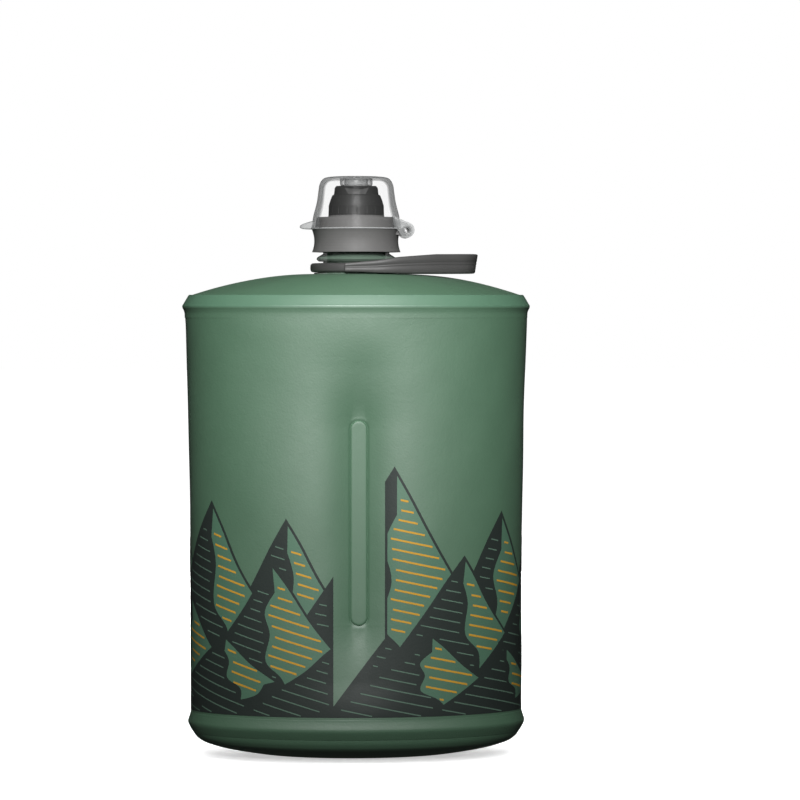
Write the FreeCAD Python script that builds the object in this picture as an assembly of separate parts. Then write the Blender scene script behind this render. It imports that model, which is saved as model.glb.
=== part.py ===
import FreeCAD, Part
import math
import os

from FreeCAD import Vector

os.makedirs("parts", exist_ok=True)

# Folding water bottle, full and standing. Millimetres. The origin is at the middle of the
# base, +Z is up, the front faces -Y and the strap loop points to +X.

# Driving dimensions of the bag
FILM = 0.8
WAIST_HALF_WIDTH = 62.0
RIM_HALF_WIDTH = 65.0
END_HALF_DEPTH = 35.2
BULGE = 1.8
WIDENING = 2.1
WIDTH_LESS_DEPTH = 28.9
WALL_BOTTOM = 14.5
WALL_TOP = 165.5
SHOULDER_EDGE = 171.3
SHOULDER_TOP = 179.5
SHOULDER_FLAT_R = 17.0
BASE_EDGE = 8.9
FOOT_HALF = (33.0, 17.0)
BASE_CORNER_HALF = (58.6, 30.0)
BASE_CORNER = 6.2
TOP_RIM_HOLE = 61.9
BOTTOM_RIM_HOLE = 60.3

# The pressed centre weld and the groove around it
WELD_WIDTH = 6.2
WELD_BOTTOM = 50.3
WELD_TOP = 125.6
WELD_PLANE = 29.6
WELD_THICKNESS = 1.4
WELD_PROUD = 0.15
GROOVE_WIDTH = 12.0
GROOVE_FADE_UP = 34.0
GROOVE_FADE_DOWN = 27.0
GROOVE_MARGIN = 4.0

# Neck, thread and cap
NECK_BORE_R = 10.87
NECK_R = 12.4
NECK_LIP = 197.6
NECK_FLANGE_R = 15.9
COLLAR_R = 14.8
THREAD_PITCH = 3.175
THREAD_CREST_R = 13.55
CAP_BORE_R = 13.95
CAP_CREST_R = 12.75
THREAD_SINK = 0.3
THREAD_ROOT_WIDTH = 2.0
THREAD_CREST_WIDTH = 0.9
NECK_THREAD_Z = 188.6
NECK_THREAD_TURNS = 2.0
CAP_THREAD_TURNS = 1.25
GASKET_THICKNESS = 0.9
CAP_FLOOR = NECK_LIP + GASKET_THICKNESS
SKIRT_BOTTOM = 187.7
SKIRT_TOP = 196.0
SKIRT_R = 16.55
SKIRT_WAIST_R = 15.7
CAP_DECK = 200.7
CAP_RING_TOP = 201.4
CAP_RING_R = 10.46

# Spout and valve
COLLAR_RING_R = 10.4
CHIMNEY_R = 7.5
CHIMNEY_BORE_R = 5.6
CHIMNEY_TOP = 207.0
SPOUT_R = 8.6
SPOUT_BORE_R = 7.56
SPOUT_FOOT = 201.9
SPOUT_TOP = 212.35
SPOUT_WEB = (207.9, 209.6)
SPOUT_DISH_R = 6.3
VALVE_R = 2.95
VALVE_TOP = 209.9
RING_SECTION_R = 0.42
RING_CENTRE_R = 7.1
RING_Z = 204.6

# Dust cover and its hinge
COVER_WALL = 1.2
COVER_RIM = 196.2
COVER_TOP = 215.9
HINGE_X = 18.57
HINGE_Z = 195.8
TONGUE_R = 1.75
TONGUE_HALF = 6.4
LUG_R = 2.9
LUG_INSIDE = 6.6
LUG_OUTSIDE = 8.0
PIN_R = 1.1
PIN_HOLE_R = 0.7
HINGE_CLEARANCE = 0.35
PIN_CLEARANCE = 0.05

# Carrying strap
STRAP_RING_R = (12.65, 17.2)
STRAP_RING_EDGE = 1.1
STRAP_RING_Z = (180.15, 183.55)
STRAP_BAND = 2.0
STRAP_SIDE = 18.25
STRAP_END = 44.6
STRAP_STUB_X = -3.8

UP = Vector(0, 0, 1)


def save(node, shape):
    shape = shape.removeSplitter()
    if not shape.isValid():
        shape.fix(0.001, 0.001, 0.001)
    if not shape.isValid() or shape.Volume <= 0:
        print("CHECK THIS SOLID", node, shape.isValid(), shape.Volume)
    shape.exportStep("parts/" + node + ".step")
    box = shape.BoundBox
    span = "%.1f..%.1f, %.1f..%.1f, %.1f..%.1f" % (
        box.XMin, box.XMax, box.YMin, box.YMax, box.ZMin, box.ZMax)
    print(node, "solids", len(shape.Solids), "volume %.0f" % shape.Volume, span)


def smooth(value):
    """0 below 0, 1 above 1, and an S-curve between."""
    value = min(max(value, 0.0), 1.0)
    return value * value * (3 - 2 * value)


def turned(points):
    """A solid of revolution about Z from its half outline, given as (radius, height)."""
    outline = [Vector(r, 0, z) for r, z in points]
    face = Part.Face(Part.makePolygon(outline + outline[:1]))
    return face.revolve(Vector(0, 0, 0), UP, 360)


def tube(radius, bore, bottom, top):
    outer = Part.makeCylinder(radius, top - bottom, Vector(0, 0, bottom))
    return outer.cut(Part.makeCylinder(bore, top - bottom, Vector(0, 0, bottom)))


def across(radius, y0, y1, x, z):
    """A cylinder along Y."""
    return Part.makeCylinder(radius, y1 - y0, Vector(x, y0, z), Vector(0, 1, 0))


def block(x0, x1, y0, y1, z0, z1):
    return Part.makeBox(x1 - x0, y1 - y0, z1 - z0, Vector(x0, y0, z0))


# ---------------------------------------------------------------- bag

def wall_share(z):
    return (z - WALL_BOTTOM) / (WALL_TOP - WALL_BOTTOM)


def half_width(z):
    return WAIST_HALF_WIDTH + WIDENING * wall_share(z) ** 3


def half_depth(z):
    return END_HALF_DEPTH + BULGE * math.sin(math.pi * wall_share(z))


def groove(x, z):
    """How far the wall is drawn in, towards the pressed weld."""
    above = (z - WELD_TOP - GROOVE_MARGIN) / GROOVE_FADE_UP
    below = (WELD_BOTTOM - GROOVE_MARGIN - z) / GROOVE_FADE_DOWN
    strength = (1 - smooth(above)) * (1 - smooth(below))
    beside = max(0.0, abs(x) - WELD_WIDTH / 2)
    return strength * (half_depth(z) - WELD_PLANE) * math.exp(-((beside / GROOVE_WIDTH) ** 2))


def wall_point(turn, z, inset, side):
    """A point of the wall at this turn, from 0 at +X to pi at -X; side is -1 at the front."""
    x = (half_width(z) - inset) * math.cos(turn)
    depth = (half_depth(z) - inset) * math.sin(turn)
    if turn in (0.0, math.pi):
        return Vector(x, 0, z)
    return Vector(x, side * (depth - groove(half_width(z) * math.cos(turn), z)), z)


def wall_surface(inset, side, columns=41, rows=25):
    grid = []
    for i in range(columns):
        turn = math.pi if i == columns - 1 else math.pi * i / (columns - 1)
        column = []
        for j in range(rows):
            z = WALL_BOTTOM + (WALL_TOP - WALL_BOTTOM) * j / (rows - 1)
            column.append(wall_point(turn, z, inset, side))
        grid.append(column)
    surface = Part.BSplineSurface()
    surface.interpolate(grid)
    return surface


def weld_outline(y0, y1):
    """The upright pressed bar with round ends."""
    radius = WELD_WIDTH / 2
    low = WELD_BOTTOM + radius
    high = WELD_TOP - radius
    bar = block(-radius, radius, y0, y1, low, high)
    ends = [across(radius, y0, y1, 0, low), across(radius, y0, y1, 0, high)]
    return bar.multiFuse(ends).removeSplitter()


def wall_panel(side):
    outer = wall_surface(0.0, side)
    inner = wall_surface(FILM, side)
    u0, u1, v0, v1 = outer.bounds()
    s0, s1, t0, t1 = inner.bounds()
    pairs = [
        (outer.uIso(u0), inner.uIso(s0)),
        (outer.uIso(u1), inner.uIso(s1)),
        (outer.vIso(v0), inner.vIso(t0)),
        (outer.vIso(v1), inner.vIso(t1)),
    ]
    faces = [outer.toShape(), inner.toShape()]
    faces += [Part.makeRuledSurface(a.toShape(), b.toShape()) for a, b in pairs]
    shell = Part.makeShell(faces)
    shell.sewShape()
    solid = Part.makeSolid(shell)
    if solid.Volume < 0:
        solid.reverse()
    near, far = sorted((side * (WELD_PLANE - 6), side * (WELD_PLANE + 6)))
    return solid.cut(weld_outline(near, far))


def weld_strip(side):
    near, far = sorted((side * (WELD_PLANE + WELD_PROUD - WELD_THICKNESS),
                        side * (WELD_PLANE + WELD_PROUD)))
    return weld_outline(near, far)


def centre_baffle():
    reach = WELD_PLANE + WELD_PROUD - WELD_THICKNESS
    radius = WELD_WIDTH / 2
    return block(-FILM / 2, FILM / 2, -reach, reach, WELD_BOTTOM + radius, WELD_TOP - radius)


def ellipse_wire(half_x, half_y, z):
    centre = Vector(0, 0, z)
    if half_x - half_y < 0.001:
        return Part.Wire(Part.Circle(centre, UP, half_x).toShape())
    ellipse = Part.Ellipse(centre + Vector(half_x, 0, 0), centre + Vector(0, half_y, 0), centre)
    return Part.Wire(ellipse.toShape())


def oval_stack(sections):
    """A solid through level ovals, given as (half width, half depth, height)."""
    return Part.makeLoft([ellipse_wire(*section) for section in sections], True, False)


def rim(levels, inside):
    """A rounded weld band: levels are (half width, height), inside is its hole's half width."""
    low = levels[0][1]
    high = levels[-1][1]
    outer = oval_stack([(a, a - WIDTH_LESS_DEPTH, z) for a, z in levels])
    hole = oval_stack([(inside, inside - WIDTH_LESS_DEPTH, z) for z in (low, high)])
    return outer.cut(hole)


TOP_RIM = [(RIM_HALF_WIDTH - 0.5, WALL_TOP), (RIM_HALF_WIDTH, WALL_TOP + 1.6),
           (RIM_HALF_WIDTH - 0.55, WALL_TOP + 3.8), (RIM_HALF_WIDTH - 1.9, SHOULDER_EDGE)]
BOTTOM_RIM = [(61.2, BASE_EDGE), (62.2, BASE_EDGE + 1.3), (62.7, BASE_EDGE + 3.6),
              (62.3, WALL_BOTTOM)]


def shoulder_sections(steps=9):
    """The top gusset, from the rim's oval to the flat round seat of the neck."""
    edge = TOP_RIM[-1][0]
    sections = []
    for i in range(steps):
        share = 1 - i / (steps - 1)
        half_x = SHOULDER_FLAT_R + share * (edge - SHOULDER_FLAT_R)
        half_y = SHOULDER_FLAT_R + share * (edge - WIDTH_LESS_DEPTH - SHOULDER_FLAT_R)
        drop = (SHOULDER_TOP - SHOULDER_EDGE) * share ** 1.9
        sections.append((half_x, half_y, SHOULDER_TOP - drop))
    return sections


def base_sections(steps=6):
    """The bottom gusset, from its flat foot through a shallow bowl to the rounded corner."""
    sections = []
    for i in range(steps):
        share = i / (steps - 1)
        half_x = FOOT_HALF[0] + share * (BASE_CORNER_HALF[0] - FOOT_HALF[0])
        half_y = FOOT_HALF[1] + share * (BASE_CORNER_HALF[1] - FOOT_HALF[1])
        sections.append((half_x, half_y, BASE_CORNER * share ** 1.3))
    edge = BOTTOM_RIM[0][0]
    sections.append((edge, edge - WIDTH_LESS_DEPTH, BASE_EDGE))
    return sections


def top_gusset():
    sections = shoulder_sections()
    under = [(a - 0.3, b - 0.3, z - FILM) for a, b, z in sections]
    shell = oval_stack(sections).cut(oval_stack(under))
    hole = Part.makeCylinder(NECK_R, 6, Vector(0, 0, SHOULDER_TOP - 4))
    return shell.cut(hole)


def bottom_gusset():
    sections = base_sections()
    above = [(a - 0.6, b - 0.6, z + FILM) for a, b, z in sections]
    return oval_stack(sections).cut(oval_stack(above))


# ---------------------------------------------------------------- neck and cap

def thread(root_r, crest_r, z, turns, phase):
    """A trapezoid ridge along a helix, its root sunk a little into the wall that carries it."""
    outward = 1 if crest_r > root_r else -1
    sunk = root_r - outward * THREAD_SINK
    root = THREAD_ROOT_WIDTH / 2
    crest = THREAD_CREST_WIDTH / 2
    corners = [(sunk, -root), (root_r, -root), (crest_r, -crest), (crest_r, crest),
               (root_r, root), (sunk, root)]
    outline = [Vector(r, 0, h) for r, h in corners]
    profile = Part.makePolygon(outline + outline[:1])
    helix = Part.makeHelix(THREAD_PITCH, THREAD_PITCH * turns, root_r)
    ridge = Part.Wire(helix.Edges).makePipeShell([profile], True, True)
    if ridge.Volume < 0:
        ridge.reverse()
    ridge.rotate(Vector(0, 0, 0), UP, phase)
    ridge.translate(Vector(0, 0, z))
    return ridge


def neck_finish():
    body = turned([
        (NECK_BORE_R, SHOULDER_TOP - 1.4), (NECK_R, SHOULDER_TOP - 1.4),
        (NECK_R, SHOULDER_TOP), (NECK_FLANGE_R, SHOULDER_TOP),
        (NECK_FLANGE_R - 0.2, SHOULDER_TOP + 0.5),
        (NECK_R, SHOULDER_TOP + 0.5), (NECK_R, 184.2), (COLLAR_R - 0.8, 184.2),
        (COLLAR_R, 184.9), (COLLAR_R, 185.4), (COLLAR_R - 0.3, 185.8), (NECK_R, 187.1),
        (NECK_R, NECK_LIP - 0.5), (NECK_R - 0.5, NECK_LIP), (NECK_BORE_R, NECK_LIP),
    ])
    return body.fuse(thread(NECK_R, THREAD_CREST_R, NECK_THREAD_Z, NECK_THREAD_TURNS, 0))


def neck_gasket():
    return tube(13.6, NECK_BORE_R, NECK_LIP, CAP_FLOOR)


def waisted_skirt():
    """The skirt's outline from its bottom to its top, drawn in between on one arc."""
    middle = (SKIRT_BOTTOM + SKIRT_TOP) / 2
    half = (SKIRT_TOP - SKIRT_BOTTOM) / 2
    steps = [i / 8 * 2 - 1 for i in range(9)]
    waist = SKIRT_R - SKIRT_WAIST_R
    return [(SKIRT_WAIST_R + waist * s * s, middle + half * s) for s in steps]


def cap_body():
    outline = [(CAP_BORE_R, SKIRT_BOTTOM)] + waisted_skirt()
    outline += [
        (15.5, SKIRT_TOP), (15.0, CAP_DECK - 1.1), (14.5, CAP_DECK), (CAP_RING_R, CAP_DECK),
        (CAP_RING_R, CAP_RING_TOP), (CHIMNEY_R, CAP_RING_TOP), (CHIMNEY_R, CHIMNEY_TOP - 0.4),
        (CHIMNEY_R - 0.4, CHIMNEY_TOP), (CHIMNEY_BORE_R, CHIMNEY_TOP),
        (CHIMNEY_BORE_R, CAP_FLOOR), (CAP_BORE_R, CAP_FLOOR),
    ]
    body = turned(outline)
    groove_half = RING_SECTION_R + 0.1
    groove_floor = RING_CENTRE_R - RING_SECTION_R - 0.01
    return body.cut(tube(CHIMNEY_R + 1, groove_floor, RING_Z - groove_half, RING_Z + groove_half))


def hinge_tongue():
    """The cap's hinge barrel, carried on the skirt between the cover's two lugs."""
    barrel = across(TONGUE_R, -TONGUE_HALF, TONGUE_HALF, HINGE_X, HINGE_Z)
    web = block(0, HINGE_X, -TONGUE_HALF, TONGUE_HALF, HINGE_Z - TONGUE_R, SKIRT_TOP - 0.1)
    inside = Part.makeCylinder(CAP_BORE_R + 0.8, 20, Vector(0, 0, SKIRT_BOTTOM))
    return barrel.fuse(web.cut(inside))


def screw_cap():
    body = cap_body().fuse(hinge_tongue())
    body = body.cut(across(PIN_R, -TONGUE_HALF - 1, TONGUE_HALF + 1, HINGE_X, HINGE_Z))
    start = NECK_THREAD_Z + THREAD_PITCH / 2
    ridge = thread(CAP_BORE_R, CAP_CREST_R, start, CAP_THREAD_TURNS, 0)
    return body.fuse(ridge)


def hinge_pin():
    pin = across(PIN_R, -LUG_OUTSIDE, LUG_OUTSIDE, HINGE_X, HINGE_Z)
    return pin.cut(across(PIN_HOLE_R, -LUG_OUTSIDE, LUG_OUTSIDE, HINGE_X, HINGE_Z))


def valve_post():
    """A mushroom post on three spokes in the cap's chimney; its head shuts the spout."""
    head = VALVE_TOP - 2.4
    foot = CAP_FLOOR + 0.6
    post = turned([(0, foot), (1.6, foot), (1.6, head - 1.2), (VALVE_R, head),
                   (VALVE_R, VALVE_TOP - 0.4), (VALVE_R - 0.4, VALVE_TOP), (0, VALVE_TOP)])
    spokes = []
    for i in range(3):
        spoke = block(0, CHIMNEY_BORE_R + 1, -0.7, 0.7, foot, foot + 1.6)
        spoke.rotate(Vector(0, 0, 0), UP, 120 * i)
        spokes.append(spoke)
    hub = post.multiFuse(spokes)
    return hub.common(Part.makeCylinder(CHIMNEY_BORE_R, 20, Vector(0, 0, foot)))


def twist_collar():
    bottom = CAP_RING_TOP + 0.1
    bore = SPOUT_R + 0.06
    body = turned([(bore, bottom), (COLLAR_RING_R, bottom), (COLLAR_RING_R - 0.1, 205.0),
                   (9.75, 206.9), (9.05, 208.7), (bore, 209.1)])
    flutes = []
    for i in range(18):
        flute = Part.makeCylinder(0.5, 3, Vector(COLLAR_RING_R + 0.35, 0, bottom + 0.5))
        flute.rotate(Vector(0, 0, 0), UP, 20 * i + 10)
        flutes.append(flute)
    return body.cut(Part.makeCompound(flutes))


def bite_flat(side):
    """What is cut away for the sloping flat under the spout's lip, at the front or back."""
    outline = [(6.75, SPOUT_TOP - 0.75), (12, SPOUT_TOP - 0.75), (12, 204), (8.75, 206.6)]
    corners = [Vector(-9, side * y, z) for y, z in outline]
    return Part.Face(Part.makePolygon(corners + corners[:1])).extrude(Vector(18, 0, 0))


def spout():
    low, high = SPOUT_WEB
    body = turned([
        (SPOUT_BORE_R, SPOUT_FOOT), (SPOUT_R, SPOUT_FOOT), (SPOUT_R, 207.0), (8.45, 208.3),
        (8.05, SPOUT_TOP - 0.7), (7.5, SPOUT_TOP), (SPOUT_DISH_R, SPOUT_TOP),
        (SPOUT_DISH_R, high), (VALVE_R + 0.05, high), (VALVE_R + 0.05, low),
        (SPOUT_BORE_R, low),
    ])
    return body.cut(bite_flat(-1)).cut(bite_flat(1))


def spout_o_ring():
    return Part.makeTorus(RING_CENTRE_R, RING_SECTION_R, Vector(0, 0, RING_Z))


def cover_outline(inset):
    """The cover's outer outline, or its inner one when inset is the wall's thickness."""
    return [
        (16.9 - inset, COVER_RIM), (16.1 - inset, 201.7), (14.75 - inset, 206.3),
        (13.9 - inset, 212.3), (13.2 - inset, 214.4 - inset * 0.3),
        (11.6 - inset * 0.6, COVER_TOP - 0.3 - inset * 0.8), (8.5, COVER_TOP - inset),
        (0, COVER_TOP - inset), (0, COVER_RIM),
    ]


def thumb_tab():
    tab = block(-21.1, -15.9, -4.2, 4.2, COVER_RIM + 0.2, 198.6)
    corner = Part.makeCylinder(6.0, 10, Vector(-15.1, 0, COVER_RIM - 2))
    grip = across(0.65, -4.2, 4.2, -20.5, 198.45)
    return tab.common(corner).fuse(grip.common(corner))


def cover_arm(side):
    """A clear lug beside the cap's barrel, on a plate that spreads to the cover's wall."""
    y0, y1 = sorted((side * LUG_INSIDE, side * LUG_OUTSIDE))
    lug = across(LUG_R, y0, y1, HINGE_X, HINGE_Z)
    outline = [(13.4, COVER_RIM), (13.2, 201.0), (HINGE_X + 0.7, HINGE_Z + 2.8),
               (HINGE_X - 2.3, HINGE_Z - 1.75), (15.9, COVER_RIM)]
    corners = [Vector(x, y0, z) for x, z in outline]
    plate = Part.Face(Part.makePolygon(corners + corners[:1])).extrude(Vector(0, y1 - y0, 0))
    return lug.fuse(plate)


def dust_cover():
    whole = turned(cover_outline(0)).multiFuse([thumb_tab(), cover_arm(-1), cover_arm(1)])
    whole = whole.cut(turned(cover_outline(COVER_WALL)))
    whole = whole.fuse(tube(6.0, 4.6, 213.1, COVER_TOP - COVER_WALL + 0.2))
    swing = TONGUE_R + HINGE_CLEARANCE
    whole = whole.cut(across(swing, -LUG_INSIDE, LUG_INSIDE, HINGE_X, HINGE_Z))
    return whole.cut(across(PIN_R + PIN_CLEARANCE, -9, 9, HINGE_X, HINGE_Z))


# ---------------------------------------------------------------- strap

def strap_ring():
    bore, radius = STRAP_RING_R
    low, high = STRAP_RING_Z
    edge = STRAP_RING_EDGE
    ring = turned([(bore, low), (radius - edge, low), (radius, low + edge),
                   (radius, high - edge), (radius - edge, high), (bore, high)])
    inner = STRAP_SIDE - STRAP_BAND / 2
    stubs = []
    for side in (-1, 1):
        y0, y1 = sorted((side * (inner - 3.0), side * (inner + STRAP_BAND)))
        stub = block(STRAP_STUB_X, 0, y0, y1, low, high + 0.3)
        bore_clear = Part.makeCylinder(bore + 1.5, 9, Vector(0, 0, low - 2))
        stubs.append(stub.cut(bore_clear))
    return ring.multiFuse(stubs)


def band_line():
    """The plan of the loop's middle line: out along one side, round the end and back."""
    half = [(0, STRAP_SIDE), (12, 17.3), (24, 14.0), (34, 9.9), (41.6, 6.0)]
    points = [Vector(x, y, 0) for x, y in half]
    points.append(Vector(STRAP_END, 0, 0))
    points += [Vector(x, -y, 0) for x, y in reversed(half)]
    line = Part.BSplineCurve()
    line.interpolate(points)
    return line


def band_side(line, offset, samples=41):
    first, last = line.FirstParameter, line.LastParameter
    points = []
    for i in range(samples):
        at = first + (last - first) * i / (samples - 1)
        along = line.tangent(at)[0]
        points.append(line.value(at) + Vector(along.y, -along.x, 0).normalize() * offset)
    points[0].x = 0
    points[-1].x = 0
    side = Part.BSplineCurve()
    side.interpolate(points)
    return side.toShape()


def strap_loop():
    line = band_line()
    outer = band_side(line, -STRAP_BAND / 2)
    inner = band_side(line, STRAP_BAND / 2)
    ends = [Part.makeLine(outer.Vertexes[i].Point, inner.Vertexes[i].Point) for i in (0, -1)]
    face = Part.Face(Part.Wire(Part.__sortEdges__([outer, inner] + ends)))
    low, high = STRAP_RING_Z
    face.translate(Vector(0, 0, low - 3))
    band = face.extrude(Vector(0, 0, 14))
    profile = [(0.0, low), (9, 179.7), (20, 179.6), (50, 179.65), (50, 187.0),
               (29, 186.8), (15, 185.7), (7, 184.5), (0.0, high + 0.3)]
    outline = [Vector(x, -30, z) for x, z in profile]
    slab = Part.Face(Part.makePolygon(outline + outline[:1])).extrude(Vector(0, 60, 0))
    return band.common(slab)


SOLIDS = {
    "front_wall": lambda: wall_panel(-1),
    "back_wall": lambda: wall_panel(1),
    "top_gusset": top_gusset,
    "bottom_gusset": bottom_gusset,
    "top_rim_weld": lambda: rim(TOP_RIM, TOP_RIM_HOLE),
    "bottom_rim_weld": lambda: rim(BOTTOM_RIM, BOTTOM_RIM_HOLE),
    "front_weld_strip": lambda: weld_strip(-1),
    "back_weld_strip": lambda: weld_strip(1),
    "centre_baffle": centre_baffle,
    "neck_finish": neck_finish,
    "neck_gasket": neck_gasket,
    "screw_cap": screw_cap,
    "valve_post": valve_post,
    "twist_collar": twist_collar,
    "spout": spout,
    "spout_o_ring": spout_o_ring,
    "dust_cover": dust_cover,
    "cover_hinge_pin": hinge_pin,
    "strap_ring": strap_ring,
    "strap_loop": strap_loop,
}

for node, build in SOLIDS.items():
    save(node, build())
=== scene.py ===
import math

import bmesh
import bpy
import numpy as np
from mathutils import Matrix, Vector
from mathutils.geometry import delaunay_2d_cdt


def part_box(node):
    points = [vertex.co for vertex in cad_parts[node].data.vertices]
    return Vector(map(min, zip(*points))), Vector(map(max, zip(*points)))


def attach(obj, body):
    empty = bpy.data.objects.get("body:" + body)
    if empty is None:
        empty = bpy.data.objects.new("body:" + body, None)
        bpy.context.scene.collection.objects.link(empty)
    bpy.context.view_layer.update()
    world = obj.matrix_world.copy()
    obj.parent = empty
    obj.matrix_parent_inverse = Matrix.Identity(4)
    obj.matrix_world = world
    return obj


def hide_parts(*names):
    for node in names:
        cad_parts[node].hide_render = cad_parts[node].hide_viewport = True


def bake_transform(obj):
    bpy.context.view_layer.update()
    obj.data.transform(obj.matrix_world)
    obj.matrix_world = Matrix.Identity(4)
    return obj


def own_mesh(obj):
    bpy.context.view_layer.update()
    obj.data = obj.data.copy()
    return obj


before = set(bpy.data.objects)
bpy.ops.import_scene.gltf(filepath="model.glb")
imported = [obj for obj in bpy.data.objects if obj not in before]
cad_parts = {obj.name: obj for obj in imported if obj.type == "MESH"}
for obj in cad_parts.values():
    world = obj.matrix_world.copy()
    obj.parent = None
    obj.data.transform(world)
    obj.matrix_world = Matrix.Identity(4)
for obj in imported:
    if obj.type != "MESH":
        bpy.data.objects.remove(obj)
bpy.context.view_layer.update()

# Lengths are metres unless a name ends in _mm or a comment says millimetres.
MM = 0.001

# ---------------------------------------------------------------- sizes read from the frame

WALL_LOW, WALL_HIGH = (corner.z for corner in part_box("front_wall"))
WALL_TOP_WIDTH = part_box("front_wall")[1].x
RIM_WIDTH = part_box("top_rim_weld")[1].x
RIM_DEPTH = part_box("top_rim_weld")[1].y
SHOULDER_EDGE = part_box("top_rim_weld")[1].z
SHOULDER_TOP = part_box("top_gusset")[1].z
WELD_LOW, WELD_HIGH = (corner.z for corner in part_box("front_weld_strip"))
WELD_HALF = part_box("front_weld_strip")[1].x
WELD_FACE = -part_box("front_weld_strip")[0].y
RING_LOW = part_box("strap_ring")[0].z
LOOP_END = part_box("strap_loop")[1].x
LOOP_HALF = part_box("strap_loop")[1].y

# The film wall: the CAD's oval at its foot, a little wider and deeper towards the top, where it
# all but reaches the rim, and bulged midway
WIDENING = 2.1 * MM
WAIST = WALL_TOP_WIDTH - WIDENING
BULGE = 1.8 * MM
RIM_PROUD = 0.45 * MM
LOW_DEPTH = -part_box("front_wall")[0].y - BULGE
DEEPENING = RIM_DEPTH - RIM_PROUD - LOW_DEPTH

# The wall is drawn in round the pressed weld, and creased along the weld's edge
GROOVE_FLOOR = WELD_FACE - 0.15 * MM
GROOVE_WIDTH = 9.5 * MM
GROOVE_STRETCH_UP = 1.8
GROOVE_STRETCH_DOWN = 2.3
GROOVE_FADE_TOP = 22 * MM
GROOVE_FADE_FOOT = 16 * MM
CREASE_DEPTH = 0.45 * MM
CREASE_WIDTH = 0.75 * MM

# The bag's flat foot and the round seat of its neck
FOOT_WIDTH = 33 * MM
FOOT_DEPTH = 17 * MM
SEAT_RADIUS = 17 * MM


# ---------------------------------------------------------------- mesh helpers

def smooth(value):
    """0 below 0, 1 above 1, and an S-curve between."""
    value = min(max(value, 0.0), 1.0)
    return value * value * (3 - 2 * value)


def mesh_piece(name, points, faces, materials, slots=None, normals=None):
    mesh = bpy.data.meshes.new(name)
    mesh.from_pydata([tuple(p) for p in points], [], faces)
    for material in materials:
        mesh.materials.append(material)
    if slots is not None:
        mesh.polygons.foreach_set("material_index", slots)
    mesh.validate()
    mesh.shade_smooth()
    if normals is not None:
        mesh.normals_split_custom_set_from_vertices([tuple(n) for n in normals])
    piece = bpy.data.objects.new(name, mesh)
    bpy.context.scene.collection.objects.link(piece)
    return piece


def grid_faces(rows, columns, closed_rows=False, closed_columns=False):
    """Quads over points listed row by row."""
    faces = []
    for i in range(rows if closed_rows else rows - 1):
        for j in range(columns if closed_columns else columns - 1):
            i2 = (i + 1) % rows
            j2 = (j + 1) % columns
            faces.append((i * columns + j, i * columns + j2, i2 * columns + j2, i2 * columns + j))
    return faces


def through(points, steps):
    """A Catmull-Rom curve through the points, with this many steps to each span."""
    last = len(points) - 1
    out = []
    for i in range(last):
        p0, p1, p2, p3 = (np.array(points[min(max(i + k, 0), last)], float) for k in (-1, 0, 1, 2))
        for j in range(steps):
            t = j / steps
            out.append(0.5 * ((2 * p1) + (p2 - p0) * t + (2 * p0 - 5 * p1 + 4 * p2 - p3) * t * t
                              + (3 * p1 - p0 - 3 * p2 + p3) * t ** 3))
    out.append(np.array(points[-1], float))
    return out


def lathe(name, profile, materials, segments):
    """A closed outline of (radius, height) turned about Z."""
    points = []
    for i in range(segments):
        turn = 2 * math.pi * i / segments
        points += [(r * math.cos(turn), r * math.sin(turn), z) for r, z in profile]
    faces = grid_faces(segments, len(profile), True, True)
    piece = mesh_piece(name, points, faces, materials)
    weld_points(piece.data)
    return piece


def weld_points(mesh):
    """Join points that fall together, as on a lathe's axis, and face everything outward."""
    shape = bmesh.new()
    shape.from_mesh(mesh)
    bmesh.ops.remove_doubles(shape, verts=shape.verts, dist=1e-7)
    bmesh.ops.dissolve_degenerate(shape, edges=shape.edges, dist=1e-8)
    bmesh.ops.recalc_face_normals(shape, faces=shape.faces)
    for face in shape.faces:
        face.smooth = True
    shape.to_mesh(mesh)
    shape.free()


def rounded(corners, radius, steps=5):
    """A closed outline with each corner turned into a short arc."""
    out = []
    count = len(corners)
    for i in range(count):
        before, here, after = (Vector(corners[(i + k) % count]) for k in (-1, 0, 1))
        back = before - here
        ahead = after - here
        reach = min(radius, back.length * 0.45, ahead.length * 0.45)
        start = here + back.normalized() * reach
        end = here + ahead.normalized() * reach
        for j in range(steps + 1):
            t = j / steps
            out.append(tuple(start * (1 - t) ** 2 + here * 2 * t * (1 - t) + end * t * t))
    return out


# ---------------------------------------------------------------- material helpers

def new_material(name, color, roughness):
    material = bpy.data.materials.new(name)
    material.use_nodes = True
    shader = material.node_tree.nodes["Principled BSDF"]
    shader.inputs["Base Color"].default_value = (*color, 1)
    shader.inputs["Roughness"].default_value = roughness
    return material, material.node_tree, shader


def noise(tree, size, detail=3.0, roughness=0.55):
    """Noise whose features are about this many metres across."""
    place = tree.nodes.new("ShaderNodeTexCoord")
    texture = tree.nodes.new("ShaderNodeTexNoise")
    texture.inputs["Scale"].default_value = 1 / size
    texture.inputs["Detail"].default_value = detail
    texture.inputs["Roughness"].default_value = roughness
    tree.links.new(place.outputs["Object"], texture.inputs["Vector"])
    return texture.outputs["Fac"]


def remap(tree, source, low, high, start=0.0, end=1.0):
    node = tree.nodes.new("ShaderNodeMapRange")
    node.inputs["From Min"].default_value = start
    node.inputs["From Max"].default_value = end
    node.inputs["To Min"].default_value = low
    node.inputs["To Max"].default_value = high
    tree.links.new(source, node.inputs["Value"])
    return node.outputs["Result"]


def tinted(tree, shader, source, dark, light):
    """Base colour that drifts between two near colours with the source."""
    ramp = tree.nodes.new("ShaderNodeMix")
    ramp.data_type = "RGBA"
    ramp.inputs[6].default_value = (*dark, 1)
    ramp.inputs[7].default_value = (*light, 1)
    tree.links.new(source, ramp.inputs["Factor"])
    tree.links.new(ramp.outputs[2], shader.inputs["Base Color"])


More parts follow.
